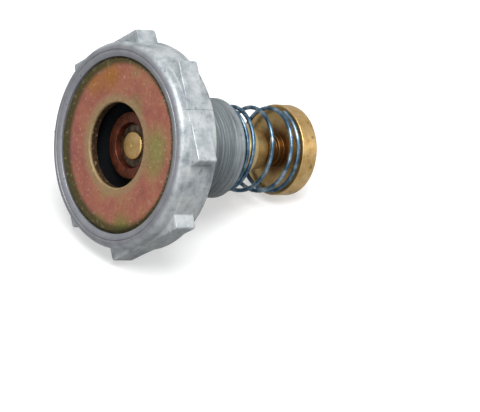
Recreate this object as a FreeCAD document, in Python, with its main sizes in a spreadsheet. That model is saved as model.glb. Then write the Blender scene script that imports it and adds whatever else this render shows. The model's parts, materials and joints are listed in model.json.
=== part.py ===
import FreeCAD, Part
import math
import os
import Sketcher

# Carburetor power valve, a vacuum-worked fuel valve that screws into a metering block.
# Every piece is drawn about the valve's own axis: height 0 is the front of the crimped lip,
# heights grow towards the brass head. The whole valve is then laid down as it comes to rest,
# on two corners of its wrench pads and on the rim of the head.

Vector = FreeCAD.Vector
doc = FreeCAD.newDocument("power_valve")

# Driving sizes in millimetres, angles in degrees.
sizes = doc.addObject("Spreadsheet::Sheet", "Sizes")
driving = {
    "flat_radius": 12.7,
    "rim_setback": 0.1,
    "rim_round": 1.05,
    "rim_round_middle": 0.3,
    "rim_depth": 1.5,
    "pad_width": 12.8,
    "pad_length": 2.95,
    "pad_count": 4,
    "flange_thickness": 5.5,
    "back_chamfer": 0.2,
    "overlap": 1.0,
    "rim_wall": 1.15,
    "lip_overlap": 0.65,
    "lip_thickness": 0.6,
    "thread_diameter": 12.4,
    "shank_length": 10.6,
    "shank_chamfer": 0.55,
    "shank_chamfer_length": 0.6,
    "neck_depth": 0.7,
    "neck_length": 3.4,
    "port_radius": 1.1,
    "port_count": 4,
    "cavity_radius": 8.8,
    "web_thickness": 1.2,
    "stop_margin": 0.6,
    "stop_depth": 0.6,
    "guide_length": 1.0,
    "guide_clearance": 0.05,
    "chamber_radius": 2.5,
    "seat_radius": 3.0,
    "ring_clearance": 0.05,
    "ring_sheet": 0.9,
    "ring_step": 0.45,
    "ring_step_setback": 0.8,
    "ring_hole_radius": 5.2,
    "ring_collar_depth": 1.3,
    "ring_hole_chamfer": 0.35,
    "diaphragm_thickness": 0.75,
    "diaphragm_centre_margin": 0.4,
    "diaphragm_fold_setback": 0.4,
    "support_radius": 4.8,
    "support_thickness": 0.5,
    "plate_radius": 4.1,
    "plate_thickness": 1.3,
    "plate_recess_margin": 0.2,
    "plate_floor": 0.35,
    "plate_chamfer": 0.25,
    "rivet_washer_radius": 2.6,
    "rivet_washer_thickness": 0.35,
    "rivet_radius": 1.76,
    "rivet_height": 0.3,
    "spigot_radius": 1.2,
    "spigot_clearance": 0.03,
    "stem_radius": 1.7,
    "travel": 2.0,
    "seat_cover": 0.3,
    "poppet_length": 2.0,
    "step_radius": 2.55,
    "step_length": 2.1,
    "boss_radius": 2.1,
    "boss_length": 0.8,
    "spring_length": 9.4,
    "head_margin": 0.5,
    "head_thickness": 2.45,
    "head_chamfer": 0.3,
    "wire_diameter": 0.52,
    "coil_setback": 0.45,
    "coil_clearance": 0.04,
    "spring_start_angle": 126,
    "shank_end_turns": 1.3,
    "head_end_turns": 0.68,
    "ramp_turns": 0.5,
    "active_turns": 1.87,
}
for row, (name, value) in enumerate(driving.items(), start=1):
    sizes.set(f"A{row}", name)
    sizes.set(f"B{row}", str(value))
    sizes.setAlias(f"B{row}", name)
doc.recompute()

# Places that follow from the driving sizes: radii from the axis and heights along it.
places = doc.addObject("App::VarSet", "Places")
following = {
    "rim_radius": "Sizes.flat_radius - Sizes.rim_setback",
    "back_chamfer_radius": "Sizes.flat_radius - Sizes.back_chamfer",
    "back_chamfer_start": "Sizes.flange_thickness - Sizes.back_chamfer",
    "front_radius": "Places.rim_radius - Sizes.rim_round",
    "rim_middle_radius": "Places.rim_radius - Sizes.rim_round_middle * Sizes.rim_round",
    "rim_middle_height": "Sizes.rim_round_middle * Sizes.rim_round",
    "half_pad": "Sizes.pad_width / 2",
    "pad_other_side": "-Sizes.pad_width / 2",
    "pad_root": "sqrt(Sizes.flat_radius ^ 2 - Places.half_pad ^ 2) - Sizes.overlap",
    "pad_end": "Sizes.rim_depth + Sizes.pad_length",
    "shank_radius": "Sizes.thread_diameter / 2",
    "shank_end_radius": "Places.shank_radius - Sizes.shank_chamfer",
    "shank_end": "Sizes.flange_thickness + Sizes.shank_length",
    "shank_chamfer_start": "Places.shank_end - Sizes.shank_chamfer_length",
    "neck_end": "Sizes.flange_thickness + Sizes.neck_length",
    "neck_radius": "Places.shank_radius - Sizes.neck_depth",
    "thread_start": "Places.neck_end + Sizes.neck_depth",
    "port_height": "Sizes.flange_thickness + Sizes.neck_length / 2",
    "ring_back": "Sizes.lip_thickness + Sizes.ring_sheet",
    "ring_face": "Sizes.lip_thickness - Sizes.ring_step",
    "ring_centre_back": "Places.ring_face + Sizes.ring_sheet",
    "ring_seat_radius": "Places.rim_radius - Sizes.rim_wall",
    "ring_radius": "Places.ring_seat_radius - Sizes.ring_clearance",
    "lip_radius": "Places.ring_radius - Sizes.lip_overlap",
    "ring_step_radius": "Places.lip_radius - Sizes.ring_step_setback",
    "ring_slope_radius": "Places.ring_step_radius + Sizes.ring_step",
    "collar_radius": "Sizes.ring_hole_radius + Sizes.ring_sheet",
    "collar_end": "Places.ring_face + Sizes.ring_collar_depth",
    "shoulder": "Places.ring_back + Sizes.diaphragm_thickness",
    "cavity_floor": "Sizes.flange_thickness - Sizes.web_thickness",
    "stop_radius": "Sizes.support_radius + Sizes.stop_margin",
    "stop_height": "Places.cavity_floor + Sizes.stop_depth",
    "guide_radius": "Sizes.stem_radius + Sizes.guide_clearance",
    "guide_end": "Places.stop_height + Sizes.guide_length",
    "seat_start": "Places.shank_end - (Sizes.seat_radius - Sizes.chamber_radius)",
    "support_front": "Places.stop_height - Sizes.support_thickness",
    "diaphragm_front": "Places.support_front - Sizes.diaphragm_thickness",
    "diaphragm_centre_radius": "Sizes.support_radius + Sizes.diaphragm_centre_margin",
    "diaphragm_fold_radius": "Sizes.cavity_radius - Sizes.diaphragm_fold_setback",
    "diaphragm_centre_back": "Places.diaphragm_centre_radius - Sizes.diaphragm_thickness / 3",
    "diaphragm_fold_back": "Places.diaphragm_fold_radius - Sizes.diaphragm_thickness / 3",
    "plate_front": "Places.diaphragm_front - Sizes.plate_thickness",
    "plate_recess_radius": "Sizes.rivet_washer_radius + Sizes.plate_recess_margin",
    "plate_recess": "Places.diaphragm_front - Sizes.plate_floor",
    "rivet_seat": "Places.plate_recess - Sizes.rivet_washer_thickness",
    "stem_tip": "Places.rivet_seat - Sizes.rivet_height",
    "spigot_hole": "Sizes.spigot_radius + Sizes.spigot_clearance",
    "poppet_radius": "Sizes.seat_radius + Sizes.seat_cover",
    "poppet_front": "Places.shank_end + Sizes.seat_cover + Sizes.travel",
    "cone_start": "Places.poppet_front - (Places.poppet_radius - Sizes.stem_radius)",
    "poppet_back": "Places.poppet_front + Sizes.poppet_length",
    "step_end": "Places.poppet_back + Sizes.step_length",
    "head_face": "Places.shank_end + Sizes.spring_length",
    "coil_radius": "Places.shank_end_radius - Sizes.coil_setback",
    "head_radius": "Places.coil_radius + Sizes.head_margin",
    "boss_start": "Places.head_face - Sizes.boss_length",
    "head_back": "Places.head_face + Sizes.head_thickness",
    "head_edge": "Places.head_back - Sizes.head_chamfer",
}
for name, formula in following.items():
    places.addProperty("App::PropertyFloat", name, "Places")
    places.setExpression(name, formula)
doc.recompute()


def number(name):
    """The value of a driving size or of a place that follows from them."""
    return sizes.get(name) if name in driving else getattr(places, name)


def source(name):
    """Where an expression finds that value."""
    return f"Sizes.{name}" if name in driving else f"Places.{name}"


def new_body(name):
    body = doc.addObject("PartDesign::Body", name)
    body.Label = name
    return body


def sketch_on(body, role, name):
    plane = next(item for item in body.Origin.OriginFeatures if item.Role == role)
    sketch = body.newObject("Sketcher::SketchObject", name)
    sketch.AttachmentSupport = [(plane, "")]
    sketch.MapMode = "FlatFace"
    return sketch


def hold_point(sketch, edge, end, across, up):
    """Ties one point of a sketch to named places, or to an axis where the place is 0."""
    for kind, axis, name in (("DistanceX", -2, across), ("DistanceY", -1, up)):
        if name == 0:
            sketch.addConstraint(Sketcher.Constraint("PointOnObject", edge, end, axis))
        else:
            held = Sketcher.Constraint(kind, -1, 1, edge, end, number(name))
            index = sketch.addConstraint(held)
            sketch.setExpression(f"Constraints[{index}]", source(name))


def closed_outline(sketch, corners):
    """Straight edges from corner to corner, each corner held at its two named places."""
    points = [Vector(*[0 if name == 0 else number(name) for name in corner], 0) for corner in corners]
    count = len(points)
    for index in range(count):
        sketch.addGeometry(Part.LineSegment(points[index], points[(index + 1) % count]), False)
    for index in range(count):
        sketch.addConstraint(Sketcher.Constraint("Coincident", index, 2, (index + 1) % count, 1))
    for index, (across, up) in enumerate(corners):
        hold_point(sketch, index, 1, across, up)


def turned(body, name, corners, kind="Revolution"):
    """Turns a half section, given as radius and height of each corner, about the axis."""
    sketch = sketch_on(body, "XZ_Plane", name + "_section")
    closed_outline(sketch, corners)
    feature = body.newObject("PartDesign::" + kind, name)
    feature.Profile = sketch
    feature.ReferenceAxis = (sketch, ["V_Axis"])
    feature.Angle = 360
    doc.recompute()
    return feature


def chamfered(body, name, rings, size):
    """Chamfers the circular edges that lie at the named radii and heights."""
    base = body.Tip
    edges = []
    for radius_name, height_name in rings:
        radius, height = number(radius_name), number(height_name)
        for index, edge in enumerate(base.Shape.Edges, start=1):
            curve = edge.Curve
            if isinstance(curve, Part.Circle) and abs(curve.Radius - radius) < 1e-4:
                if abs(curve.Center.z - height) < 1e-4 and math.hypot(curve.Center.x, curve.Center.y) < 1e-4:
                    edges.append(f"Edge{index}")
    chamfer = body.newObject("PartDesign::Chamfer", name)
    chamfer.Base = (base, edges)
    chamfer.setExpression("Size", source(size))
    doc.recompute()
    return chamfer


# Valve body: a die-cast round flange with four wrench pads, on a hollow screwed shank.
valve_body = new_body("valve_body")
turned(valve_body, "flange_and_shank", [
    (0, 0),
    ("front_radius", 0),
    ("rim_middle_radius", "rim_middle_height"),
    ("rim_radius", "rim_round"),
    ("rim_radius", "rim_depth"),
    ("flat_radius", "rim_depth"),
    ("flat_radius", "back_chamfer_start"),
    ("back_chamfer_radius", "flange_thickness"),
    ("neck_radius", "flange_thickness"),
    ("neck_radius", "neck_end"),
    ("shank_radius", "thread_start"),
    ("shank_radius", "shank_chamfer_start"),
    ("shank_end_radius", "shank_end"),
    (0, "shank_end"),
])

# One flat wrench pad stands off the flange, and the others are turned copies of it.
# The first pad lies halfway between two axes, so that the valve can rest on a pair of them.
pad_sketch = sketch_on(valve_body, "XY_Plane", "wrench_pad_outline")
half_turn_between_pads = 180 / number("pad_count")
pad_sketch.AttachmentOffset = FreeCAD.Placement(
    Vector(0, 0, number("rim_depth")), FreeCAD.Rotation(Vector(0, 0, 1), half_turn_between_pads))
pad_sketch.setExpression("AttachmentOffset.Base.z", source("rim_depth"))
closed_outline(pad_sketch, [
    ("pad_root", "pad_other_side"),
    ("flat_radius", "pad_other_side"),
    ("flat_radius", "half_pad"),
    ("pad_root", "half_pad"),
])
wrench_pad = valve_body.newObject("PartDesign::Pad", "wrench_pad")
wrench_pad.Profile = pad_sketch
wrench_pad.setExpression("Length", source("pad_length"))
wrench_pads = valve_body.newObject("PartDesign::PolarPattern", "wrench_pads")
wrench_pads.Originals = [wrench_pad]
wrench_pads.Axis = (pad_sketch, ["N_Axis"])
wrench_pads.Angle = 360
wrench_pads.setExpression("Occurrences", source("pad_count"))
valve_body.Tip = wrench_pads
doc.recompute()

# Inside, from the front: crimped lip, seat of the ring, diaphragm cavity, stop and guide for the
# stem, fuel chamber and the conical seat that the poppet closes.
turned(valve_body, "bores", [
    (0, 0),
    ("lip_radius", 0),
    ("lip_radius", "lip_thickness"),
    ("ring_seat_radius", "lip_thickness"),
    ("ring_seat_radius", "shoulder"),
    ("cavity_radius", "shoulder"),
    ("cavity_radius", "cavity_floor"),
    ("stop_radius", "cavity_floor"),
    ("stop_radius", "stop_height"),
    ("guide_radius", "stop_height"),
    ("guide_radius", "guide_end"),
    ("chamber_radius", "guide_end"),
    ("chamber_radius", "seat_start"),
    ("seat_radius", "shank_end"),
    (0, "shank_end"),
], "Groove")

# Fuel leaves through round ports, drilled from the neck behind the flange into the chamber.
port_sketch = sketch_on(valve_body, "XZ_Plane", "port_outline")
port_sketch.addGeometry(
    Part.Circle(Vector(0, number("port_height"), 0), Vector(0, 0, 1), number("port_radius")), False)
hold_point(port_sketch, 0, 3, 0, "port_height")
port_held = port_sketch.addConstraint(Sketcher.Constraint("Radius", 0, number("port_radius")))
port_sketch.setExpression(f"Constraints[{port_held}]", source("port_radius"))
volume_before_ports = valve_body.Shape.Volume
port = valve_body.newObject("PartDesign::Pocket", "port")
port.Profile = port_sketch
port.setExpression("Length", source("shank_radius"))
ports = valve_body.newObject("PartDesign::PolarPattern", "ports")
ports.Originals = [port]
ports.Axis = (port_sketch, ["V_Axis"])
ports.Angle = 360
ports.setExpression("Occurrences", source("port_count"))
valve_body.Tip = ports
doc.recompute()
if not valve_body.Shape.Volume < volume_before_ports:
    raise RuntimeError("the ports cut nothing")

# Retaining ring: pressed steel, raised in the middle, with its hole drawn into a short collar.
retaining_ring = new_body("retaining_ring")
turned(retaining_ring, "pressed_ring", [
    ("ring_radius", "lip_thickness"),
    ("ring_slope_radius", "lip_thickness"),
    ("ring_step_radius", "ring_face"),
    ("ring_hole_radius", "ring_face"),
    ("ring_hole_radius", "collar_end"),
    ("collar_radius", "collar_end"),
    ("collar_radius", "ring_centre_back"),
    ("ring_step_radius", "ring_centre_back"),
    ("ring_slope_radius", "ring_back"),
    ("ring_radius", "ring_back"),
])
chamfered(retaining_ring, "hole_chamfer", [("ring_hole_radius", "ring_face")], "ring_hole_chamfer")

# Diaphragm: one rubber disc, its rim clamped by the ring, its middle drawn in by the spring.
diaphragm = new_body("diaphragm")
turned(diaphragm, "rubber_disc", [
    ("ring_radius", "ring_back"),
    ("diaphragm_fold_radius", "ring_back"),
    ("diaphragm_centre_radius", "diaphragm_front"),
    ("spigot_hole", "diaphragm_front"),
    ("spigot_hole", "support_front"),
    ("diaphragm_centre_back", "support_front"),
    ("diaphragm_fold_back", "shoulder"),
    ("ring_radius", "shoulder"),
])

# Support washer: flat, on the fuel side of the diaphragm, rests on the stop in the body.
support_washer = new_body("support_washer")
turned(support_washer, "flat_washer", [
    ("spigot_hole", "support_front"),
    ("support_radius", "support_front"),
    ("support_radius", "stop_height"),
    ("spigot_hole", "stop_height"),
])

# Diaphragm plate: thick washer on the vacuum side, recessed for the riveted end of the stem.
diaphragm_plate = new_body("diaphragm_plate")
turned(diaphragm_plate, "recessed_washer", [
    ("plate_recess_radius", "plate_front"),
    ("plate_radius", "plate_front"),
    ("plate_radius", "diaphragm_front"),
    ("spigot_hole", "diaphragm_front"),
    ("spigot_hole", "plate_recess"),
    ("plate_recess_radius", "plate_recess"),
])
chamfered(diaphragm_plate, "plate_edge", [("plate_radius", "plate_front")], "plate_chamfer")

# Rivet washer: small flat washer under the riveted end.
rivet_washer = new_body("rivet_washer")
turned(rivet_washer, "small_washer", [
    ("spigot_hole", "rivet_seat"),
    ("rivet_washer_radius", "rivet_seat"),
    ("rivet_washer_radius", "plate_recess"),
    ("spigot_hole", "plate_recess"),
])

# Valve stem: turned from one brass bar, from the riveted end by way of the guided rod and the
# conical poppet to the head that the spring pushes.
valve_stem = new_body("valve_stem")
turned(valve_stem, "turned_stem", [
    (0, "stem_tip"),
    ("rivet_radius", "stem_tip"),
    ("rivet_radius", "rivet_seat"),
    ("spigot_radius", "rivet_seat"),
    ("spigot_radius", "stop_height"),
    ("stem_radius", "stop_height"),
    ("stem_radius", "cone_start"),
    ("poppet_radius", "poppet_front"),
    ("poppet_radius", "poppet_back"),
    ("step_radius", "poppet_back"),
    ("step_radius", "step_end"),
    ("stem_radius", "step_end"),
    ("stem_radius", "boss_start"),
    ("boss_radius", "boss_start"),
    ("boss_radius", "head_face"),
    ("head_radius", "head_face"),
    ("head_radius", "head_back"),
    (0, "head_back"),
])
chamfered(valve_stem, "head_rim", [("head_radius", "head_back")], "head_chamfer")


def coil_height(turns):
    """Height of the wire's centre: close coils at both ends, open coils between them.

    The pitch grows and falls evenly along the two ramps, and the open pitch is the one that
    makes the wire reach from its seat on the shank to its seat on the head."""
    close_pitch = number("wire_diameter") + number("coil_clearance")
    first, last = number("shank_end_turns"), number("head_end_turns")
    ramp, active = number("ramp_turns"), number("active_turns")
    low = number("shank_end") + number("wire_diameter") / 2 + number("coil_clearance")
    high = number("head_face") - number("wire_diameter") / 2 - number("coil_clearance")
    open_pitch = (high - low - close_pitch * (first + last + ramp)) / (active + ramp)
    height = low + close_pitch * turns
    extra = open_pitch - close_pitch
    up_ramp = min(max(turns - first, 0), ramp)
    height += extra * up_ramp ** 2 / (2 * ramp)
    height += extra * min(max(turns - first - ramp, 0), active)
    down_ramp = min(max(turns - first - ramp - active, 0), ramp)
    height += extra * (down_ramp - down_ramp ** 2 / (2 * ramp))
    return height


def coil_point(turns):
    angle = math.radians(number("spring_start_angle")) - 2 * math.pi * turns
    radius = number("coil_radius")
    return Vector(radius * math.cos(angle), radius * math.sin(angle), coil_height(turns))


# Spring: left-hand coils of drawn wire, open when the valve is at rest. The wire's section is a
# square with the area of the round wire.
points_per_turn = 16
spring_turns = number("shank_end_turns") + number("head_end_turns") + 2 * number("ramp_turns") \
    + number("active_turns")
steps = round(spring_turns * points_per_turn)
wire_line = Part.BSplineCurve()
wire_line.interpolate([coil_point(spring_turns * index / steps) for index in range(steps + 1)])
wire_start = wire_line.value(wire_line.FirstParameter)
along = wire_line.tangent(wire_line.FirstParameter)[0]
outward = Vector(wire_start.x, wire_start.y, 0).normalize()
upward = along.cross(outward).normalize()
half_side = number("wire_diameter") * math.sqrt(math.pi) / 4
section_corners = []
for across, up in ((-1, -1), (1, -1), (1, 1), (-1, 1), (-1, -1)):
    section_corners.append(wire_start + outward * (across * half_side) + upward * (up * half_side))
spring = doc.addObject("Part::Feature", "spring")
spring.Label = "spring"
spring.Shape = Part.Wire(wire_line.toShape()).makePipeShell([Part.makePolygon(section_corners)], True, True)

# At rest the valve lies on the back corners of two neighbouring pads and on the rim of the head.
# The tilt is where both are equally low under the axis.
pad_angle = math.radians(half_turn_between_pads)
corner_drop = number("flat_radius") * math.cos(pad_angle) + number("half_pad") * math.sin(pad_angle)
tilt = math.atan2(corner_drop - number("head_radius"), number("head_edge") - number("pad_end"))
floor_distance = corner_drop * math.cos(tilt) + number("pad_end") * math.sin(tilt)

# The axis points along +X and down, and the base stands on height 0 in the middle of the plan.
lie_down = FreeCAD.Placement(Vector(0, 0, floor_distance),
                             FreeCAD.Rotation(Vector(0, 1, 0), 90 + math.degrees(tilt)))
sub_parts = [valve_body, retaining_ring, diaphragm, support_washer, diaphragm_plate,
             rivet_washer, valve_stem, spring]
box = FreeCAD.BoundBox()
for sub_part in sub_parts:
    moved = sub_part.Shape.copy()
    moved.Placement = lie_down
    box.add(moved.optimalBoundingBox(False))
lie_down.Base = Vector(-box.Center.x, -box.Center.y, floor_distance)
for sub_part in sub_parts:
    sub_part.Placement = lie_down
doc.recompute()

for item in doc.Objects:
    if "Invalid" in item.State or "Error" in item.State:
        raise RuntimeError(f"{item.Name} failed: {item.State}")
os.makedirs("parts", exist_ok=True)
for sub_part in sub_parts:
    shape = sub_part.Shape
    if shape.isNull() or not shape.isValid():
        raise RuntimeError(f"{sub_part.Label} has no valid shape")
    shape.exportStep(os.path.join("parts", sub_part.Label + ".step"))
    reach = shape.optimalBoundingBox(False)
    print(f"{sub_part.Label}: {shape.Volume:.1f} mm3, from {reach.ZMin:.3f} to {reach.ZMax:.2f} mm high")
print(f"lies tilted {math.degrees(tilt):.2f} degrees, origin {lie_down.Base.x:.5f} {lie_down.Base.z:.5f}")
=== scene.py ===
import json
import math

import bmesh
import bpy
from mathutils import Matrix, Vector


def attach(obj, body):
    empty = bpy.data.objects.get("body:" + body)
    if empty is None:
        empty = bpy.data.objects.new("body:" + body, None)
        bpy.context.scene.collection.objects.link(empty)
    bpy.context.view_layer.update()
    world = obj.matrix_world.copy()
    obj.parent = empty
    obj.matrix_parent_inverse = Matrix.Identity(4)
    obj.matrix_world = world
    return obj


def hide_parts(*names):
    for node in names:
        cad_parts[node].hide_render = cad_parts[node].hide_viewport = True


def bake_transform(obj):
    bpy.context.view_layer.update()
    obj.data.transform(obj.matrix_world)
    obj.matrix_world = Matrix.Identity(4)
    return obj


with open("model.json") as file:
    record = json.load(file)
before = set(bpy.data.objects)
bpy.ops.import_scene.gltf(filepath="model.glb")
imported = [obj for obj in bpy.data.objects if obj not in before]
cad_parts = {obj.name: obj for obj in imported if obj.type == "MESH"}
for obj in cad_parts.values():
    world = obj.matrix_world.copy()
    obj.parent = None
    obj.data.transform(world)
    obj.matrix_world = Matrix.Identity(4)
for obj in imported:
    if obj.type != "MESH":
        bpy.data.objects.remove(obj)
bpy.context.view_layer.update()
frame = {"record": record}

# Valve body: one zinc die casting. Its flange has a lip that is rolled over the retaining ring
# and four wrench pads, and its hollow shank is threaded and has four drilled fuel ports.
# Heights are measured along the valve's own axis from the front of the rolled lip.
MM = 0.001
shank_mount = next(mount for mount in frame["record"]["mounts"] if mount["name"] == "screwed_shank")
axis = Vector(shank_mount["axis"])
thread_start, thread_end = 9.6, 15.5
thread_middle = (thread_start + thread_end) / 2
front_centre = Vector(shank_mount["pos_m"]) - axis * thread_middle * MM
turn_down = math.pi / 2 + math.atan2(-axis.z, axis.x)
valve_place = Matrix.Translation(front_centre) @ Matrix.Rotation(turn_down, 4, "Y") @ Matrix.Scale(MM, 4)


def rounded(corners):
    """The corners of an outline, given as two places and a rounding, as points with arcs."""
    points = []
    for index, (across, up, rounding) in enumerate(corners):
        corner = Vector((across, up))
        if not rounding:
            points.append(corner)
            continue
        back = (Vector(corners[index - 1][:2]) - corner).normalized()
        ahead = (Vector(corners[(index + 1) % len(corners)][:2]) - corner).normalized()
        half = back.angle(ahead) / 2
        reach = rounding / math.tan(half)
        middle = corner + (back + ahead).normalized() * (rounding / math.sin(half))
        arc_steps = 8 if rounding > 0.5 else 3
        for step in range(arc_steps + 1):
            spoke = (back * reach + corner - middle).slerp(ahead * reach + corner - middle, step / arc_steps)
            points.append(middle + spoke.normalized() * rounding)
    return points


def clean(mesh):
    """Merges doubles, turns the faces outwards and shades them smooth between sharp edges."""
    shell = bmesh.new()
    shell.from_mesh(mesh)
    bmesh.ops.remove_doubles(shell, verts=shell.verts, dist=1e-5)
    bmesh.ops.recalc_face_normals(shell, faces=shell.faces)
    shell.to_mesh(mesh)
    shell.free()
    mesh.shade_smooth()
    mesh.set_sharp_from_angle(angle=math.radians(32))
    return mesh


def lathe(name, sections):
    """A closed shell through half sections, each given as its angle and (radius, height) points."""
    vertices, faces = [], []
    for angle, points in sections:
        vertices += [(radius * math.cos(angle), radius * math.sin(angle), height)
                     for radius, height in points]
    size, count = len(sections[0][1]), len(sections)
    for column in range(count):
        for row in range(size):
            following = (row + 1) % size
            if sections[0][1][row][0] == 0 == sections[0][1][following][0]:
                continue
            here, there = column * size, (column + 1) % count * size
            faces.append((here + row, there + row, there + following, here + following))
    mesh = bpy.data.meshes.new(name)
    mesh.from_pydata(vertices, [], faces)
    return clean(mesh)


def make_piece(name, mesh, material, node, body=None):
    """Puts a finished mesh where the valve lies, in place of its CAD node."""
    mesh.transform(valve_place)
    mesh.materials.clear()
    mesh.materials.append(material)
    piece = bpy.data.objects.new(name, mesh)
    bpy.context.scene.collection.objects.link(piece)
    flat_faces = piece.modifiers.new("flat_faces", "WEIGHTED_NORMAL")
    flat_faces.keep_sharp = True
    if body:
        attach(piece, body)
    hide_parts(node)
    return piece


def linear(code):
    """An sRGB hex colour as linear values."""
    channels = [int(code[place:place + 2], 16) / 255 for place in (1, 3, 5)]
    return [c / 12.92 if c <= 0.04045 else ((c + 0.055) / 1.055) ** 2.4 for c in channels] + [1]


def set_inputs(tree, node, inputs):
    """Gives a node's inputs values, or links them to sockets."""
    for key, value in inputs.items():
        if isinstance(value, bpy.types.NodeSocket):
            tree.links.new(value, node.inputs[key])
        else:
            node.inputs[key].default_value = value


def add_node(tree, kind, inputs=None, **settings):
    """Adds a node with its settings, its inputs' values and its links."""
    node = tree.nodes.new(kind)
    for name, value in settings.items():
        if name == "stops":
            stops = node.color_ramp.elements
            while len(stops) < len(value):
                stops.new(0)
            for stop, (place, code) in zip(stops, value):
                stop.position = place
                stop.color = linear(code)
        else:
            setattr(node, name, value)
    set_inputs(tree, node, inputs or {})
    return node


def new_material(name):
    """A material with its shader, and a vector in millimetres in the valve's own frame."""
    material = bpy.data.materials.new(name)
    material.use_nodes = True
    tree = material.node_tree
    tree.nodes.clear()
    shader = add_node(tree, "ShaderNodeBsdfPrincipled")
    add_node(tree, "ShaderNodeOutputMaterial", {"Surface": shader.outputs[0]})
    coordinates = add_node(tree, "ShaderNodeTexCoord")
    place = add_node(tree, "ShaderNodeMapping", {
        "Vector": coordinates.outputs["Object"], "Location": front_centre,
        "Rotation": (0, turn_down, 0), "Scale": (MM, MM, MM)}, vector_type="TEXTURE")
    return material, tree, shader, place.outputs[0]


def off_axis(tree, place):
    """A place's three parts, its spoke from the valve's axis, and the spoke's length."""
    parts = add_node(tree, "ShaderNodeSeparateXYZ", {0: place}).outputs
    spoke = add_node(tree, "ShaderNodeCombineXYZ", {0: parts[0], 1: parts[1]}).outputs[0]
    radius = add_node(tree, "ShaderNodeVectorMath", {0: spoke}, operation="LENGTH").outputs["Value"]
    return parts, spoke, radius


# Zinc die casting as it leaves the die: a pale satin skin with soft cloudy mottling, a few dark
# pits, a duller rolled lip and a darker, greyer shank, partly for the cut thread and partly painted
# shade, less dark towards the shank's end. The grain and the streaks are drawn coarser than they
# are, so that they show.
cast_zinc, tree, shader, place = new_material("die_cast_zinc")
parts, spoke, radius = off_axis(tree, place)
height = parts[2]
cloud_size, grain_size, pit_size, smudge_size = 2.2, 0.45, 0.7, 1.3
streak_spacing, streak_stretch = 0.22, 0.12
clouds = add_node(tree, "ShaderNodeTexNoise", {
    "Vector": place, "Scale": 1 / cloud_size, "Detail": 4, "Roughness": 0.65}).outputs[0]
colour = add_node(tree, "ShaderNodeValToRGB", {0: clouds}, stops=[
    (0.32, "#80878C"), (0.46, "#9EA4A7"), (0.6, "#B6BABB")]).outputs[0]
lip_wear = add_node(tree, "ShaderNodeMapRange", {
    0: radius, 1: 12.5, 2: 11.9, 3: 0, 4: 1}, interpolation_type="SMOOTHSTEP").outputs[0]
lip_front = add_node(tree, "ShaderNodeMapRange", {0: height, 1: 0.9, 2: 0.3, 3: 0, 4: 0.8}).outputs[0]
lip_share = add_node(tree, "ShaderNodeMath", {
    0: lip_wear, 1: lip_front}, operation="MULTIPLY").outputs[0]
# Painted shade, with the tone of the cut thread: the shank is painted darker and greyer, less so towards its
# end.
shank_start = add_node(tree, "ShaderNodeMapRange", {0: height, 1: 5.6, 2: 7.5, 3: 0, 4: 0.9}).outputs[0]
shank_end_fade = add_node(tree, "ShaderNodeMapRange", {0: height, 1: 13, 2: 16, 3: 1, 4: 0.55}).outputs[0]
shank_tone_and_shade = add_node(tree, "ShaderNodeMath", {
    0: shank_start, 1: shank_end_fade}, operation="MULTIPLY").outputs[0]
pits = add_node(tree, "ShaderNodeTexNoise", {
    "Vector": place, "Scale": 1 / pit_size, "Detail": 1}).outputs[0]
pit_share = add_node(tree, "ShaderNodeMapRange", {0: pits, 1: 0.7, 2: 0.76, 3: 0, 4: 0.55}).outputs[0]
# The cutting of the thread left fine streaks, and handling left smudges.
streak_place = add_node(tree, "ShaderNodeVectorMath", {
    0: place, 1: (streak_stretch, streak_stretch, 1 / streak_spacing)}, operation="MULTIPLY").outputs[0]
streaks = add_node(tree, "ShaderNodeTexNoise", {
    "Vector": streak_place, "Scale": 1, "Detail": 2}).outputs[0]
streak_share = add_node(tree, "ShaderNodeMapRange", {
    0: streaks, 1: 0.48, 2: 0.64, 3: 0, 4: 0.75}).outputs[0]
streak_share = add_node(tree, "ShaderNodeMath", {
    0: streak_share, 1: shank_tone_and_shade}, operation="MULTIPLY").outputs[0]
smudges = add_node(tree, "ShaderNodeTexNoise", {
    "Vector": place, "Scale": 1 / smudge_size, "Detail": 6, "Roughness": 0.75,
    "Distortion": 0.6}).outputs[0]
smudge_share = add_node(tree, "ShaderNodeMapRange", {
    0: smudges, 1: 0.57, 2: 0.72, 3: 0, 4: 0.6}).outputs[0]
# The die's parting line runs along the flange through the middle of two opposite pads.
line_place = -0.15
across_line = add_node(tree, "ShaderNodeVectorMath", {
    0: spoke, 1: (0.7071, -0.7071, 0)}, operation="DOT_PRODUCT").outputs["Value"]
off_line = add_node(tree, "ShaderNodeMath", {
    0: across_line, 1: line_place}, operation="SUBTRACT").outputs[0]
off_line = add_node(tree, "ShaderNodeMath", {0: off_line}, operation="ABSOLUTE").outputs[0]
line_share = add_node(tree, "ShaderNodeMapRange", {
    0: off_line, 1: 0.02, 2: 0.07, 3: 0.6, 4: 0}).outputs[0]
outside = add_node(tree, "ShaderNodeMapRange", {0: radius, 1: 12.3, 2: 12.6, 3: 0, 4: 1}).outputs[0]
line_share = add_node(tree, "ShaderNodeMath", {
    0: line_share, 1: outside}, operation="MULTIPLY").outputs[0]
# The shank's colour in this list is partly painted shade.
for share, code in ((lip_share, "#78787E"), (shank_tone_and_shade, "#666E71"), (pit_share, "#4E5459"),
                    (streak_share, "#42484B"), (smudge_share, "#6E767B"), (line_share, "#5A6165")):
    colour = add_node(tree, "ShaderNodeMix", {
        0: share, 6: colour, 7: linear(code)}, data_type="RGBA").outputs[2]
grain = add_node(tree, "ShaderNodeTexNoise", {
    "Vector": place, "Scale": 1 / grain_size, "Detail": 3, "Roughness": 0.6}).outputs[0]
roughness = add_node(tree, "ShaderNodeMapRange", {
    0: grain, 1: 0.3, 2: 0.7, 3: 0.38, 4: 0.54}).outputs[0]
bump = add_node(tree, "ShaderNodeBump", {
    "Height": grain, "Strength": 0.6, "Distance": 0.05 * MM}).outputs[0]
set_inputs(tree, shader, {"Base Color": colour, "Roughness": roughness, "Normal": bump, "Metallic": 0.4})

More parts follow.
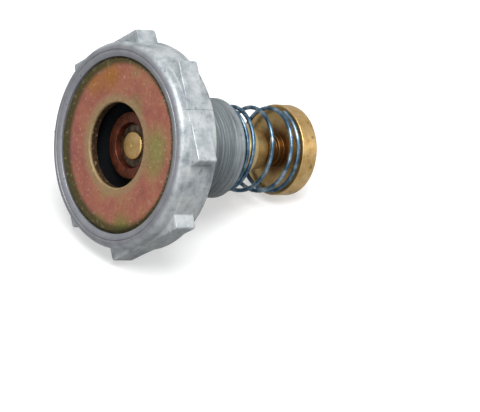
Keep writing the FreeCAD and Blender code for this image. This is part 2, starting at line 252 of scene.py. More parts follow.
# Sizes in millimetres: radii from the axis, and heights from the front of the lip. The crimping
# tool left a fine line in the lip.
rim_radius, rim_roll, rim_depth = 12.6, 0.9, 1.5
lip_inner, lip_back = 10.75, 0.6
crimp_line, crimp_width, crimp_depth = 11.58, 0.16, 0.13
round_radius, flange_back = 12.68, 5.5
flat_radius, pad_width, pad_end, pad_count, pad_rounding = 12.7, 12.8, 4.45, 4, 0.3
shank_radius, neck_radius, neck_end, shank_end, shank_face = 6.2, 5.5, 8.9, 16.1, 5.65
seat_radius, bore_radius, bore_end = 3, 2.5, 15.6
guide_radius, guide_start, guide_end = 1.75, 4.9, 5.9
stop_radius, chamber_radius, chamber_end = 5.4, 8.8, 4.3
rubber_seat_radius, rubber_seat = 11.45, 2.25
thread_pitch, thread_depth, rows_per_pitch = 25.4 / 28, 0.09, 14


def flange_outline():
    """The outline behind the rim: round, with flat pads, as points across and down."""
    corner = math.atan2(pad_width / 2, flat_radius)
    gap_radius = round_radius + 0.01
    root = math.asin(pad_width / 2 / gap_radius)
    flat_steps, gap_steps = 22, 13
    corners = []
    for pad in range(pad_count):
        middle = math.radians(360 / pad_count * (pad + 0.5))
        corner_reach = flat_radius / math.cos(corner)
        spots = [(-root, gap_radius, pad_rounding), (-corner, corner_reach, pad_rounding)]
        for step in range(1, flat_steps):
            turn = corner * (2 * step / flat_steps - 1)
            spots.append((turn, flat_radius / math.cos(turn), 0))
        spots += [(corner, corner_reach, pad_rounding), (root, gap_radius, pad_rounding)]
        gap = 2 * math.pi / pad_count - 2 * root
        spots += [(root + gap * step / gap_steps, gap_radius, 0) for step in range(1, gap_steps)]
        for turn, reach, rounding in spots:
            corners.append((reach * math.cos(middle + turn), reach * math.sin(middle + turn), rounding))
    return rounded(corners)


def casting_section(outer):
    """The casting's half section where its flange reaches out to a radius."""
    step = min(0.25, 0.4 * (outer - round_radius))
    thread_rows = round((thread_end - thread_start) / thread_pitch * rows_per_pitch)
    thread_step = (thread_end - thread_start) / thread_rows
    return rounded([
        (lip_inner, lip_back, 0), (lip_inner, 0.16, 0.12), (11.2, 0, 0.5),
        (crimp_line - crimp_width / 2, 0, 0.05), (crimp_line, crimp_depth, 0.03),
        (crimp_line + crimp_width / 2, 0, 0.05), (rim_radius, 0, rim_roll), (rim_radius, rim_depth, 0.03),
        (outer, rim_depth, min(step, 0.12)), (outer, pad_end, step), (round_radius, pad_end, step),
        (round_radius, flange_back, 0.25), (neck_radius, flange_back, 0.3), (neck_radius, neck_end, 0.2),
        *[(shank_radius, thread_start + row * thread_step, 0) for row in range(thread_rows + 1)],
        (shank_face, shank_end, 0.12), (seat_radius, shank_end, 0.05),
        (bore_radius, bore_end, 0.05), (bore_radius, guide_end, 0.05),
        (guide_radius, guide_end, 0.05), (guide_radius, guide_start, 0.05),
        (stop_radius, guide_start, 0.05), (stop_radius, chamber_end, 0.05),
        (chamber_radius, chamber_end, 0.2), (chamber_radius, rubber_seat, 0.05),
        (rubber_seat_radius, rubber_seat, 0.05), (rubber_seat_radius, lip_back, 0.05)])


casting_sections = [(math.atan2(spot.y, spot.x), casting_section(spot.length)) for spot in flange_outline()]
casting = bpy.data.objects.new("casting", lathe("casting", casting_sections))
bpy.context.scene.collection.objects.link(casting)

# The thread and the ports are cut into the casting by one tree: it sinks the helical grooves
# into the shank and takes four drill holes out of the neck.
machining = bpy.data.node_groups.new("machining", "GeometryNodeTree")
port_count = 4
machining_sizes = {
    "Thread pitch": thread_pitch, "Thread depth": thread_depth, "Thread start": thread_start,
    "Thread end": thread_end, "Shank radius": shank_radius, "Port radius": 1.1, "Port height": 7.2,
    "Port middle": 4.2, "Drill length": 5}
machining.interface.new_socket("Geometry", in_out="OUTPUT", socket_type="NodeSocketGeometry")
machining.interface.new_socket("Geometry", in_out="INPUT", socket_type="NodeSocketGeometry")
socket_names = {}
for name in machining_sizes:
    socket_names[name] = machining.interface.new_socket(
        name, in_out="INPUT", socket_type="NodeSocketFloat").identifier
socket_names["Ports"] = machining.interface.new_socket(
    "Ports", in_out="INPUT", socket_type="NodeSocketInt").identifier
socket_names["Material"] = machining.interface.new_socket(
    "Material", in_out="INPUT", socket_type="NodeSocketMaterial").identifier
given = add_node(machining, "NodeGroupInput").outputs
spot = add_node(machining, "GeometryNodeInputPosition").outputs[0]
parts, spoke, radius = off_axis(machining, spot)
angle = add_node(machining, "ShaderNodeMath", {0: parts[1], 1: parts[0]}, operation="ARCTAN2").outputs[0]
rise = add_node(machining, "ShaderNodeMath", {
    0: parts[2], 1: given["Thread pitch"]}, operation="DIVIDE").outputs[0]
rise_angle = add_node(machining, "ShaderNodeMath", {0: rise, 1: 2 * math.pi}, operation="MULTIPLY").outputs[0]
phase = add_node(machining, "ShaderNodeMath", {0: rise_angle, 1: angle}, operation="SUBTRACT").outputs[0]
wave = add_node(machining, "ShaderNodeMath", {0: phase}, operation="COSINE").outputs[0]
fine_phase = add_node(machining, "ShaderNodeMath", {0: phase, 1: 2}, operation="MULTIPLY").outputs[0]
fine_wave = add_node(machining, "ShaderNodeMath", {0: fine_phase}, operation="COSINE").outputs[0]
# A finer wave on top of each groove makes the cut look uneven and sharp.
both_waves = add_node(machining, "ShaderNodeMath", {
    0: fine_wave, 1: 1.5, 2: wave}, operation="MULTIPLY_ADD").outputs[0]
groove = add_node(machining, "ShaderNodeMath", {
    0: both_waves, 1: -0.2, 2: -0.5}, operation="MULTIPLY_ADD").outputs[0]
run_in = add_node(machining, "ShaderNodeMath", {
    0: given["Thread start"], 1: given["Thread pitch"]}, operation="ADD").outputs[0]
run_out = add_node(machining, "ShaderNodeMath", {
    0: given["Thread end"], 1: given["Thread pitch"]}, operation="SUBTRACT").outputs[0]
fade_in = add_node(machining, "ShaderNodeMapRange", {
    0: parts[2], 1: given["Thread start"], 2: run_in, 3: 0, 4: 1}).outputs[0]
fade_out = add_node(machining, "ShaderNodeMapRange", {
    0: parts[2], 1: run_out, 2: given["Thread end"], 3: 1, 4: 0}).outputs[0]
on_shank = add_node(machining, "ShaderNodeMath", {
    0: radius, 1: given["Shank radius"], 2: 0.01}, operation="COMPARE").outputs[0]
depth = given["Thread depth"]
for share in (groove, fade_in, fade_out, on_shank):
    depth = add_node(machining, "ShaderNodeMath", {0: depth, 1: share}, operation="MULTIPLY").outputs[0]
outward = add_node(machining, "ShaderNodeVectorMath", {0: spoke}, operation="NORMALIZE").outputs[0]
inward = add_node(machining, "ShaderNodeVectorMath", {
    0: outward, "Scale": depth}, operation="SCALE").outputs[0]
threaded = add_node(machining, "GeometryNodeSetPosition", {
    "Geometry": given["Geometry"], "Offset": inward}).outputs[0]
spots = add_node(machining, "GeometryNodeMeshCircle", {
    "Vertices": given["Ports"], "Radius": given["Port middle"]}).outputs[0]
port_level = add_node(machining, "ShaderNodeCombineXYZ", {2: given["Port height"]}).outputs[0]
drill = add_node(machining, "GeometryNodeMeshCylinder", {
    "Vertices": 32, "Radius": given["Port radius"], "Depth": given["Drill length"]}).outputs[0]
facing = add_node(machining, "FunctionNodeAlignRotationToVector", {"Vector": spoke}, axis="Z").outputs[0]
drills = add_node(machining, "GeometryNodeInstanceOnPoints", {
    "Points": spots, "Instance": drill, "Rotation": facing}).outputs[0]
raised = add_node(machining, "GeometryNodeTransform", {
    "Geometry": drills, "Translation": port_level}).outputs[0]
cutters = add_node(machining, "GeometryNodeRealizeInstances", {"Geometry": raised}).outputs[0]
bored = add_node(machining, "GeometryNodeMeshBoolean", {
    "Mesh 1": threaded, "Mesh 2": cutters}, operation="DIFFERENCE").outputs[0]
whole = add_node(machining, "GeometryNodeRealizeInstances", {"Geometry": bored}).outputs[0]
coloured = add_node(machining, "GeometryNodeSetMaterial", {
    "Geometry": whole, "Material": given["Material"]}).outputs[0]
add_node(machining, "NodeGroupOutput", {"Geometry": coloured})


def grown(maker, tree, values, name):
    """The plain mesh that a tree makes of an object, which is then removed."""
    modifier = maker.modifiers.new(tree.name, "NODES")
    modifier.node_group = tree
    for identifier, value in values.items():
        modifier[identifier] = value
    bpy.context.view_layer.update()
    evaluated = maker.evaluated_get(bpy.context.evaluated_depsgraph_get())
    mesh = bpy.data.meshes.new_from_object(evaluated)
    mesh.name = name
    bpy.data.objects.remove(maker)
    return clean(mesh)


machining_values = {socket_names[name]: float(value) for name, value in machining_sizes.items()}
machining_values[socket_names["Ports"]] = port_count
machining_values[socket_names["Material"]] = cast_zinc
casting_mesh = grown(casting, machining, machining_values, "valve_casting")
make_piece("valve_casting", casting_mesh, cast_zinc, "valve_body", "body")

# Retaining ring: pressed from steel sheet, raised in the middle, its hole drawn into a collar.
# Zinc plated and yellow chromated, so that its film drifts from pink through gold to olive.
ring_plating, tree, shader, place = new_material("yellow_chromate_plating")
parts, spoke, radius = off_axis(tree, place)
drift_size, speck_size, tooth_size = 4.0, 0.5, 0.28
drift = add_node(tree, "ShaderNodeTexNoise", {
    "Vector": place, "Scale": 1 / drift_size, "Detail": 5, "Roughness": 0.6}).outputs[0]
colour = add_node(tree, "ShaderNodeValToRGB", {0: drift}, stops=[
    (0.32, "#985A52"), (0.46, "#A96857"), (0.58, "#AD7259"), (0.72, "#9C8458")]).outputs[0]
# Patches of the film: the place of each down and across the ring, how far it spreads, its share.
patches = [((-7.1, 4.8), 2.8, 0.85, "#A8702E"), ((-5, 7.4), 2.4, 0.7, "#A8702E"),
           ((-3.3, -6.9), 3.4, 0.95, "#908A4F"), ((-0.6, -7.6), 2.4, 0.7, "#908A4F"),
           ((-6, -1.2), 2.0, 0.7, "#8F7A50"), ((8.6, -5.6), 3.0, 0.9, "#7C7A38"),
           ((10.4, -1.5), 2.4, 0.8, "#7C7A38"), ((4, 8.6), 2.0, 0.5, "#93566A")]
ragged = add_node(tree, "ShaderNodeMath", {0: drift, 1: 3.0, 2: -1.5}, operation="MULTIPLY_ADD").outputs[0]
for (down, across), spread, most, code in patches:
    distance = add_node(tree, "ShaderNodeVectorMath", {
        0: spoke, 1: (down, across, 0)}, operation="DISTANCE").outputs["Value"]
    edge = add_node(tree, "ShaderNodeMath", {0: distance, 1: ragged}, operation="ADD").outputs[0]
    share = add_node(tree, "ShaderNodeMapRange", {
        0: edge, 1: spread, 2: 0.3, 3: 0, 4: most}, interpolation_type="SMOOTHSTEP").outputs[0]
    colour = add_node(tree, "ShaderNodeMix", {
        0: share, 6: colour, 7: linear(code)}, data_type="RGBA").outputs[2]
# Partly olive film and partly painted shade: the ring is painted dark olive where it dips under the
# lip, widest on the side where the lip shades it, and its slope under the lip is painted dark all
# round as shade. The film is worn to tan round the hole.
speckle = add_node(tree, "ShaderNodeTexNoise", {
    "Vector": place, "Scale": 1 / speck_size, "Detail": 2, "Roughness": 0.7}).outputs[0]
# Painted shade, partly olive film: a dark band under the lip, off centre so that it is widest where the lip
# shades the ring.
film_and_shade_reach = add_node(tree, "ShaderNodeVectorMath", {
    0: spoke, 1: (-0.45, -0.78, 0)}, operation="DISTANCE").outputs["Value"]
# The first zone is partly painted shade; the last is painted shade on the slope under the lip.
zones = [(film_and_shade_reach, 9.6, 10.45, 0.95, "#40421C"), (radius, 6.95, 5.95, 0.75, "#A08A64"),
         (radius, 5.75, 5.55, 0.8, "#93835F"), (radius, 10.45, 10.7, 0.9, "#3E3C22")]
for reach, start, end, most, code in zones:
    edge = add_node(tree, "ShaderNodeMath", {
        0: speckle, 1: 0.5, 2: reach}, operation="MULTIPLY_ADD").outputs[0]
    share = add_node(tree, "ShaderNodeMapRange", {
        0: edge, 1: start, 2: end, 3: 0, 4: most}, interpolation_type="SMOOTHSTEP").outputs[0]
    colour = add_node(tree, "ShaderNodeMix", {
        0: share, 6: colour, 7: linear(code)}, data_type="RGBA").outputs[2]
# Painted shade: the collar inside the hole is painted dark brown for the shade in the hole. Fine
# pale specks and dark teeth cover the film.
collar_depth = add_node(tree, "ShaderNodeMapRange", {
    0: parts[2], 1: 0.35, 2: 0.6, 3: 0, 4: 1}).outputs[0]
in_hole = add_node(tree, "ShaderNodeMapRange", {0: radius, 1: 5.6, 2: 5.3, 3: 0, 4: 1}).outputs[0]
collar_shade_share = add_node(tree, "ShaderNodeMath", {
    0: collar_depth, 1: in_hole}, operation="MULTIPLY").outputs[0]
speck_share = add_node(tree, "ShaderNodeMapRange", {
    0: speckle, 1: 0.58, 2: 0.76, 3: 0, 4: 0.4}).outputs[0]
tooth = add_node(tree, "ShaderNodeTexNoise", {
    "Vector": place, "Scale": 1 / tooth_size, "Detail": 3}).outputs[0]
tooth_share = add_node(tree, "ShaderNodeMapRange", {0: tooth, 1: 0.5, 2: 0.75, 3: 0, 4: 0.5}).outputs[0]
# The collar's brown is painted shade; the specks and teeth are the film's texture.
for share, code in ((collar_shade_share, "#32230E"), (speck_share, "#D2B9A0"), (tooth_share, "#7A4E3E")):
    colour = add_node(tree, "ShaderNodeMix", {
        0: share, 6: colour, 7: linear(code)}, data_type="RGBA").outputs[2]
face_roughness = add_node(tree, "ShaderNodeMapRange", {
    0: speckle, 1: 0.3, 2: 0.7, 3: 0.36, 4: 0.54}).outputs[0]
slope_roughness = add_node(tree, "ShaderNodeMapRange", {
    0: radius, 1: 10, 2: 10.3, 3: 0, 4: 0.35}).outputs[0]
hole_roughness = add_node(tree, "ShaderNodeMath", {
    0: in_hole, 1: 0.3, 2: slope_roughness}, operation="MULTIPLY_ADD").outputs[0]
roughness = add_node(tree, "ShaderNodeMath", {
    0: face_roughness, 1: hole_roughness}, operation="ADD").outputs[0]
bump = add_node(tree, "ShaderNodeBump", {
    "Height": speckle, "Strength": 0.5, "Distance": 0.03 * MM}).outputs[0]
set_inputs(tree, shader, {"Base Color": colour, "Roughness": roughness, "Normal": bump, "Metallic": 0.6})


def turned(name, corners, columns=144):
    """A piece that is the same all round, from its half section's corners and their roundings."""
    points = rounded(corners)
    return lathe(name, [(2 * math.pi * column / columns, points) for column in range(columns)])


ring_sheet, clamped_radius, hole_radius, ring_front, collar_end = 0.9, 11.4, 5.2, 0.15, 1.45
ring_mesh = turned("retaining_ring_pressing", [
    (clamped_radius, lip_back, 0.05), (10.74, lip_back, 0.1), (10.34, ring_front, 0.3),
    (hole_radius, ring_front, 0.2), (hole_radius, collar_end, 0.15),
    (hole_radius + ring_sheet, collar_end, 0.1), (hole_radius + ring_sheet, ring_front + ring_sheet, 0.1),
    (9.95, ring_front + ring_sheet, 0.3), (10.4, lip_back + ring_sheet, 0.3),
    (clamped_radius, lip_back + ring_sheet, 0.1)])
make_piece("retaining_ring_pressing", ring_mesh, ring_plating, "retaining_ring", "body")

# Diaphragm: one disc of fuel-proof rubber. The ring clamps its rim, and the spring has drawn its
# middle in. Its skin is matt and nearly black, with a little dust.
rubber, tree, shader, place = new_material("nitrile_rubber")
dust_size = 0.6
dust = add_node(tree, "ShaderNodeTexNoise", {
    "Vector": place, "Scale": 1 / dust_size, "Detail": 4}).outputs[0]
colour = add_node(tree, "ShaderNodeValToRGB", {0: dust}, stops=[
    (0.35, "#020304"), (0.6, "#05070B"), (0.78, "#0B0E14")]).outputs[0]
bump = add_node(tree, "ShaderNodeBump", {
    "Height": dust, "Strength": 0.4, "Distance": 0.03 * MM}).outputs[0]
set_inputs(tree, shader, {
    "Base Color": colour, "Normal": bump, "Roughness": 0.8, "Specular IOR Level": 0.12})

rubber_sheet, stem_hole, clamped_front, middle_front = 0.75, 1.23, 1.5, 3.65
clamped_back, middle_back = clamped_front + rubber_sheet, middle_front + rubber_sheet
rubber_mesh = turned("diaphragm_rubber", [
    (clamped_radius, clamped_front, 0.05), (8.5, clamped_front, 0.9), (5.2, middle_front, 0.9),
    (stem_hole, middle_front, 0.05), (stem_hole, middle_back, 0.05), (4.95, middle_back, 0.9),
    (8.15, clamped_back, 0.9), (clamped_radius, clamped_back, 0.05)])
diaphragm = make_piece("diaphragm_rubber", rubber_mesh, rubber, "diaphragm")
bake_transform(diaphragm)

# Diaphragm plate: a thick steel washer on the vacuum side, recessed for the riveted end of the
# stem. Its plating has turned rust red and is rubbed bright at the outer edge.
red_plating, tree, shader, place = new_material("rusty_plating")
_, _, radius = off_axis(tree, place)
rust_size = 0.9
rust = add_node(tree, "ShaderNodeTexNoise", {
    "Vector": place, "Scale": 1 / rust_size, "Detail": 5, "Roughness": 0.7}).outputs[0]
colour = add_node(tree, "ShaderNodeValToRGB", {0: rust}, stops=[
    (0.32, "#2A120A"), (0.5, "#522513"), (0.7, "#6E371F")]).outputs[0]
edge_share = add_node(tree, "ShaderNodeMapRange", {
    0: radius, 1: 3.9, 2: 4.05, 3: 0, 4: 0.55}).outputs[0]
colour = add_node(tree, "ShaderNodeMix", {
    0: edge_share, 6: colour, 7: linear("#8A6448")}, data_type="RGBA").outputs[2]
bump = add_node(tree, "ShaderNodeBump", {
    "Height": rust, "Strength": 0.5, "Distance": 0.04 * MM}).outputs[0]
set_inputs(tree, shader, {"Base Color": colour, "Normal": bump, "Metallic": 0.5, "Roughness": 0.42})

plate_radius, plate_front, hollow_radius, hollow_floor = 4.1, 2.35, 2.8, 3.3
plate_mesh = turned("diaphragm_plate_disc", [
    (hollow_radius, plate_front, 0.12), (plate_radius, plate_front, 0.2),
    (plate_radius, middle_front, 0.05), (stem_hole, middle_front, 0.03),
    (stem_hole, hollow_floor, 0.03), (hollow_radius, hollow_floor, 0.1)])
make_piece("diaphragm_plate_disc", plate_mesh, red_plating, "diaphragm_plate", "stem")

# Washers: two flat steel stampings, a small one under the riveted end and a wide one that
# backs the rubber on the fuel side. The bare steel is dulled to brown by fuel.
washer_steel, tree, shader, place = new_material("stamped_steel")
stain_size = 0.8
stain = add_node(tree, "ShaderNodeTexNoise", {
    "Vector": place, "Scale": 1 / stain_size, "Detail": 4}).outputs[0]
colour = add_node(tree, "ShaderNodeValToRGB", {0: stain}, stops=[
    (0.35, "#3A2E24"), (0.55, "#5E5042"), (0.75, "#7A6E60")]).outputs[0]
bump = add_node(tree, "ShaderNodeBump", {
    "Height": stain, "Strength": 0.4, "Distance": 0.02 * MM}).outputs[0]
set_inputs(tree, shader, {"Base Color": colour, "Normal": bump, "Metallic": 0.9, "Roughness": 0.4})

small_radius, small_front, wide_radius, wide_back = 2.6, 2.95, 4.8, 4.9
small_washer_mesh = turned("rivet_washer_disc", [
    (stem_hole, small_front, 0.02), (small_radius, small_front, 0.08),
    (small_radius, hollow_floor, 0.05), (stem_hole, hollow_floor, 0.02)])
make_piece("rivet_washer_disc", small_washer_mesh, washer_steel, "rivet_washer", "stem")
wide_washer_mesh = turned("support_washer_disc", [
    (stem_hole, middle_back, 0.02), (wide_radius, middle_back, 0.1),
    (wide_radius, wide_back, 0.1), (stem_hole, wide_back, 0.02)])
make_piece("support_washer_disc", wide_washer_mesh, washer_steel, "support_washer", "stem")

# Valve stem: turned from one brass bar. From the front: the riveted end with its centre mark, the
# guided rod, the conical poppet, two shoulders and the disc head that the spring pushes. The brass
# is satin from the tool, a little tarnished, with brown spots.
turned_brass, tree, shader, place = new_material("turned_brass")
parts, _, radius = off_axis(tree, place)
height = parts[2]
tarnish_size, spot_size, tool_mark_spacing = 1.6, 1.1, 0.16
tarnish = add_node(tree, "ShaderNodeTexNoise", {
    "Vector": place, "Scale": 1 / tarnish_size, "Detail": 5, "Roughness": 0.65}).outputs[0]
colour = add_node(tree, "ShaderNodeValToRGB", {0: tarnish}, stops=[
    (0.26, "#9A7C4C"), (0.4, "#C9A468"), (0.6, "#DCBC84"), (0.75, "#E6CC9C")]).outputs[0]
spots = add_node(tree, "ShaderNodeTexNoise", {
    "Vector": place, "Scale": 1 / spot_size, "Detail": 2}).outputs[0]
spot_share = add_node(tree, "ShaderNodeMapRange", {
    0: spots, 1: 0.66, 2: 0.72, 3: 0, 4: 0.6}).outputs[0]
# Painted shade: the middle of the head's front and the rod before it, in the shade inside the
# spring, are painted dark brown.
in_spring = add_node(tree, "ShaderNodeMapRange", {0: height, 1: 21.6, 2: 23.2, 3: 0, 4: 1}).outputs[0]
before_head = add_node(tree, "ShaderNodeMapRange", {
    0: height, 1: 25.62, 2: 25.54, 3: 0, 4: 1}).outputs[0]
spring_shade_zone = add_node(tree, "ShaderNodeMath", {
    0: in_spring, 1: before_head}, operation="MULTIPLY").outputs[0]
spring_shade_depth = add_node(tree, "ShaderNodeMapRange", {
    0: radius, 1: 2.3, 2: 3.9, 3: 0.9, 4: 0.12}, interpolation_type="SMOOTHSTEP").outputs[0]
spring_shade_share = add_node(tree, "ShaderNodeMath", {
    0: spring_shade_zone, 1: spring_shade_depth}, operation="MULTIPLY").outputs[0]
# Painted highlight: the poppet's land is painted pale cream, as if brightly lit.
land_front = add_node(tree, "ShaderNodeMapRange", {0: height, 1: 18.2, 2: 18.5, 3: 0, 4: 1}).outputs[0]
land_back = add_node(tree, "ShaderNodeMapRange", {
    0: height, 1: 20.45, 2: 20.35, 3: 0, 4: 0.7}).outputs[0]
land_highlight_share = add_node(tree, "ShaderNodeMath", {
    0: land_front, 1: land_back}, operation="MULTIPLY").outputs[0]
# Brown spots, painted shade inside the spring, and a painted highlight on the poppet's land.
for share, code in ((spot_share, "#6E5636"), (spring_shade_share, "#5A3818"), (land_highlight_share, "#F2D8A2")):
    colour = add_node(tree, "ShaderNodeMix", {
        0: share, 6: colour, 7: linear(code)}, data_type="RGBA").outputs[2]
# Tool marks run round the bar: waves along the axis on its sides, waves outwards on its faces.
# They are drawn coarser than a lathe's real feed, so that they show.
along = add_node(tree, "ShaderNodeMath", {0: height, 1: radius}, operation="ADD").outputs[0]
marks_place = add_node(tree, "ShaderNodeCombineXYZ", {0: along}).outputs[0]
marks = add_node(tree, "ShaderNodeTexNoise", {
    "Vector": marks_place, "Scale": 1 / tool_mark_spacing, "Detail": 2}).outputs[0]
roughness = add_node(tree, "ShaderNodeMapRange", {
    0: tarnish, 1: 0.3, 2: 0.7, 3: 0.46, 4: 0.34}).outputs[0]
bump = add_node(tree, "ShaderNodeBump", {
    "Height": marks, "Strength": 0.35, "Distance": 0.02 * MM}).outputs[0]
set_inputs(tree, shader, {"Base Color": colour, "Roughness": roughness, "Normal": bump, "Metallic": 1})

rivet_radius, rivet_front, tenon_radius, rod_radius = 1.76, 2.65, 1.2, 1.7
poppet_radius, poppet_front, poppet_back = 3.3, 18.4, 20.4
cone_start = poppet_front - (poppet_radius - rod_radius)
step_radius, step_end, boss_radius, boss_start = 2.55, 22.5, 2.1, 24.7
head_radius, head_face, head_back = 5.7, 25.5, 27.95
stem_mesh = turned("brass_stem", [
    (0, rivet_front + 0.17, 0), (0.22, rivet_front, 0.04), (rivet_radius, rivet_front, 0.22),
    (rivet_radius, small_front, 0.03), (tenon_radius, small_front, 0.02),
    (tenon_radius, wide_back, 0.02), (rod_radius, wide_back, 0.05), (rod_radius, cone_start, 0.1),
    (poppet_radius, poppet_front, 0.1), (poppet_radius, poppet_back, 0.18),
    (step_radius, poppet_back, 0.08), (step_radius, step_end, 0.15), (rod_radius, step_end, 0.12),
    (rod_radius, boss_start, 0.06), (boss_radius, boss_start, 0.12), (boss_radius, head_face, 0.08),
    (head_radius, head_face, 0.12), (head_radius, head_back, 0.3), (0.45, head_back, 0.04),
    (0, head_back - 0.25, 0)])
make_piece("brass_stem", stem_mesh, turned_brass, "valve_stem", "stem")

# Spring: left-hand coils of spring wire, close at both ends. It stands between the end of the
# shank and the head. Heat has blued the wire, which shines from dark blue to steel grey.
blued_wire, tree, shader, place = new_material("blued_spring_steel")
blue_size = 1.4
blueing = add_node(tree, "ShaderNodeTexNoise", {
    "Vector": place, "Scale": 1 / blue_size, "Detail": 4}).outputs[0]
colour = add_node(tree, "ShaderNodeValToRGB", {0: blueing}, stops=[
    (0.3, "#2C4354"), (0.5, "#4E6C82"), (0.7, "#9CAEBA")]).outputs[0]
roughness = add_node(tree, "ShaderNodeMapRange", {
    0: blueing, 1: 0.3, 2: 0.7, 3: 0.28, 4: 0.42}).outputs[0]
set_inputs(tree, shader, {"Base Color": colour, "Roughness": roughness, "Metallic": 0.85})

wire_diameter, coil_radius, coil_clearance = 0.52, 5.2, 0.04
first_turns, ramp_turns, active_turns, last_turns = 1.3, 0.5, 1.87, 0.68
coil_start = math.radians(126)


def coil_height(turns):
    """Height of the wire's middle: close coils at both ends, open coils between two ramps."""
    close_pitch = wire_diameter + coil_clearance
    low = shank_end + wire_diameter / 2 + coil_clearance
    high = head_face - wire_diameter / 2 - coil_clearance
    close_turns = first_turns + last_turns + ramp_turns
    open_pitch = (high - low - close_pitch * close_turns) / (active_turns + ramp_turns)
    extra = open_pitch - close_pitch
    up = min(max(turns - first_turns, 0), ramp_turns)
    steady = min(max(turns - first_turns - ramp_turns, 0), active_turns)
    down = min(max(turns - first_turns - ramp_turns - active_turns, 0), ramp_turns)
    ramps = up ** 2 / (2 * ramp_turns) + down - down ** 2 / (2 * ramp_turns)
    return low + close_pitch * turns + extra * (ramps + steady)


all_turns = first_turns + 2 * ramp_turns + active_turns + last_turns
points_per_turn, wire_sides = 48, 14
steps = round(all_turns * points_per_turn)
line = []
for step in range(steps + 1):
    turns = all_turns * step / steps
    angle = coil_start - 2 * math.pi * turns
    line.append((coil_radius * math.cos(angle), coil_radius * math.sin(angle), coil_height(turns)))
line_mesh = bpy.data.meshes.new("coil_line")
line_mesh.from_pydata(line, [(step, step + 1) for step in range(steps)], [])
coil_line = bpy.data.objects.new("coil_line", line_mesh)
bpy.context.scene.collection.objects.link(coil_line)
wire_drawing = bpy.data.node_groups.new("wire_drawing", "GeometryNodeTree")
wire_drawing.interface.new_socket("Geometry", in_out="OUTPUT", socket_type="NodeSocketGeometry")
wire_drawing.interface.new_socket("Geometry", in_out="INPUT", socket_type="NodeSocketGeometry")
wire_sockets = [
    wire_drawing.interface.new_socket(name, in_out="INPUT", socket_type=kind).identifier
    for name, kind in (("Wire radius", "NodeSocketFloat"), ("Wire sides", "NodeSocketInt"),
                       ("Material", "NodeSocketMaterial"))]
given = add_node(wire_drawing, "NodeGroupInput").outputs
path = add_node(wire_drawing, "GeometryNodeMeshToCurve", {0: given["Geometry"]}).outputs[0]
wire_round = add_node(wire_drawing, "GeometryNodeCurvePrimitiveCircle", {
    "Resolution": given["Wire sides"], "Radius": given["Wire radius"]}).outputs[0]
wire = add_node(wire_drawing, "GeometryNodeCurveToMesh", {
    "Curve": path, "Profile Curve": wire_round, "Fill Caps": True}).outputs[0]
whole = add_node(wire_drawing, "GeometryNodeRealizeInstances", {"Geometry": wire}).outputs[0]
coloured = add_node(wire_drawing, "GeometryNodeSetMaterial", {
    "Geometry": whole, "Material": given["Material"]}).outputs[0]
add_node(wire_drawing, "NodeGroupOutput", {"Geometry": coloured})
spring_values = dict(zip(wire_sockets, (wire_diameter / 2, wire_sides, blued_wire)))
spring_mesh = grown(coil_line, wire_drawing, spring_values, "coil_spring")
spring = make_piece("coil_spring", spring_mesh, blued_wire, "spring")
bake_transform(spring)

# Studio: white paper for a floor, one large soft panel overhead, two weaker ones low on the left
# and on the right, and a grey room. The paper and the room are white to the camera alone, and
# partly so to what mirrors them, so that the valve's underside stays in shade.
floor_paint, tree, shader, place = new_material("white_paper")
paper_size, camera_lift, mirror_lift = 5, 0.46, 0.3
paper = add_node(tree, "ShaderNodeTexNoise", {
    "Vector": place, "Scale": 1 / paper_size, "Detail": 2}).outputs[0]
paper_colour = add_node(tree, "ShaderNodeValToRGB", {0: paper}, stops=[
    (0.3, "#FDFDFD"), (0.7, "#FFFFFF")]).outputs[0]
rays = add_node(tree, "ShaderNodeLightPath").outputs
seen_colour = add_node(tree, "ShaderNodeMix", {
    0: rays["Is Camera Ray"], 6: linear("#808080"), 7: paper_colour}, data_type="RGBA").outputs[2]
set_inputs(tree, shader, {"Base Color": seen_colour, "Roughness": 1, "Specular IOR Level": 0})
mirrored = add_node(tree, "ShaderNodeMath", {
    0: rays["Is Glossy Ray"], 1: mirror_lift}, operation="MULTIPLY").outputs[0]
lift = add_node(tree, "ShaderNodeMath", {
    0: rays["Is Camera Ray"], 1: camera_lift, 2: mirrored}, operation="MULTIPLY_ADD").outputs[0]
glow = add_node(tree, "ShaderNodeEmission", {"Color": linear("#FFFFFF"), "Strength": 1}).outputs[0]
lifted = add_node(tree, "ShaderNodeMixShader", {0: lift, 1: shader.outputs[0], 2: glow}).outputs[0]
surface = next(node for node in tree.nodes if node.type == "OUTPUT_MATERIAL")
set_inputs(tree, surface, {"Surface": lifted})
floor_mesh = bpy.data.meshes.new("floor")
floor_half = 3
floor_mesh.from_pydata([(-floor_half, -floor_half, 0), (floor_half, -floor_half, 0),
                        (floor_half, floor_half, 0), (-floor_half, floor_half, 0)], [], [(0, 1, 2, 3)])
floor_mesh.materials.append(floor_paint)
floor = bpy.data.objects.new("floor", floor_mesh)
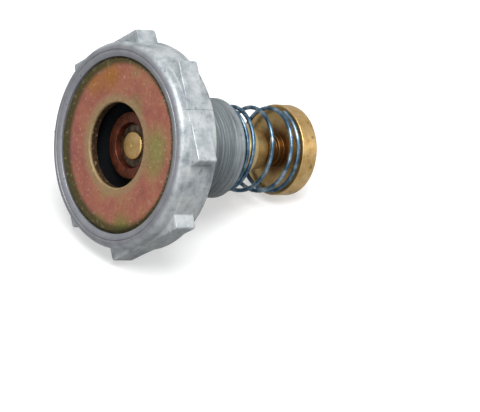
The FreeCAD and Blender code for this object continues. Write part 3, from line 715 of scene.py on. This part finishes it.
bpy.context.scene.collection.objects.link(floor)

world = bpy.data.worlds.new("room")
bpy.context.scene.world = world
world.use_nodes = True
tree = world.node_tree
tree.nodes.clear()
rays = add_node(tree, "ShaderNodeLightPath").outputs
seen = add_node(tree, "ShaderNodeBackground", {"Color": linear("#FFFFFF"), "Strength": 1}).outputs[0]
room = add_node(tree, "ShaderNodeBackground", {"Color": linear("#F0F2F4"), "Strength": 0.5}).outputs[0]
white_share = add_node(tree, "ShaderNodeMath", {
    0: rays["Is Glossy Ray"], 1: mirror_lift, 2: rays["Is Camera Ray"]},
    operation="MULTIPLY_ADD").outputs[0]
mixed = add_node(tree, "ShaderNodeMixShader", {0: white_share, 1: room, 2: seen}).outputs[0]
add_node(tree, "ShaderNodeOutputWorld", {0: mixed})

panels = [("panel_above", (-0.08, -0.16, 0.45), 0.3, 3.2), ("panel_left", (-0.35, -0.25, 0.2), 0.2, 0.55),
          ("panel_right", (0.32, -0.36, 0.2), 0.22, 0.36)]
for name, spot, width, power in panels:
    lamp = bpy.data.lights.new(name, "AREA")
    lamp.shape = "SQUARE"
    lamp.size = width
    lamp.energy = power
    panel = bpy.data.objects.new(name, lamp)
    panel.location = spot
    panel.rotation_mode = "QUATERNION"
    panel.rotation_quaternion = (-Vector(spot)).to_track_quat("-Z", "Y")
    bpy.context.scene.collection.objects.link(panel)

# Camera: a long lens that looks down at the front of the flange from the left, near side, and is
# rolled a little.
lens = bpy.data.cameras.new("camera")
lens.lens = 262.5
lens.sensor_width = 36
lens.clip_start = 0.01
camera = bpy.data.objects.new("camera", lens)
camera.location = (-0.219435, -0.299363, 0.230544)
aim = Vector((0.0015383, -0.0074469, 0.005032))
camera_roll = math.radians(3.031)
camera.rotation_mode = "QUATERNION"
camera.rotation_quaternion = (aim - camera.location).to_track_quat("-Z", "Y") \
    @ Matrix.Rotation(camera_roll, 3, "Z").to_quaternion()
bpy.context.scene.collection.objects.link(camera)
bpy.context.scene.camera = camera
bpy.context.scene.view_settings.view_transform = "Standard"
